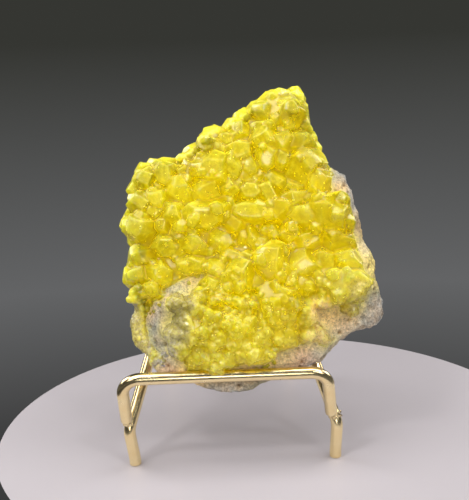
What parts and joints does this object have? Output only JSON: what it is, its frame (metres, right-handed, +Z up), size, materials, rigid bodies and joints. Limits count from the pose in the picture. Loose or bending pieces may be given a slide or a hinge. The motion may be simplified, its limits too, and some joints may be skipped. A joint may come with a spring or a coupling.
{
  "type": "sulfur specimen",
  "caption": "Cluster of translucent yellow sulfur crystals on a lump of matrix rock, resting on a brass wire easel.",
  "frame": {"origin": "middle of the whole object's footprint box, on the surface that the easel's feet stand on", "axes": "+Z up, +X to the viewer's right when facing the crystals, +Y from the crystals towards the back"},
  "size_m": [0.0672, 0.0756, 0.0939],
  "materials": {
    "matrix_stone": "matte",
    "sulfur": "gloss",
    "brass": "polished"
  },
  "bodies": {
    "root": {"matrix_rock": "matrix_stone", "sulfur_crystals": "sulfur", "easel_frame": "brass", "easel_lip": "brass", "easel_rear_leg": "brass"}
  },
  "joints": []
}
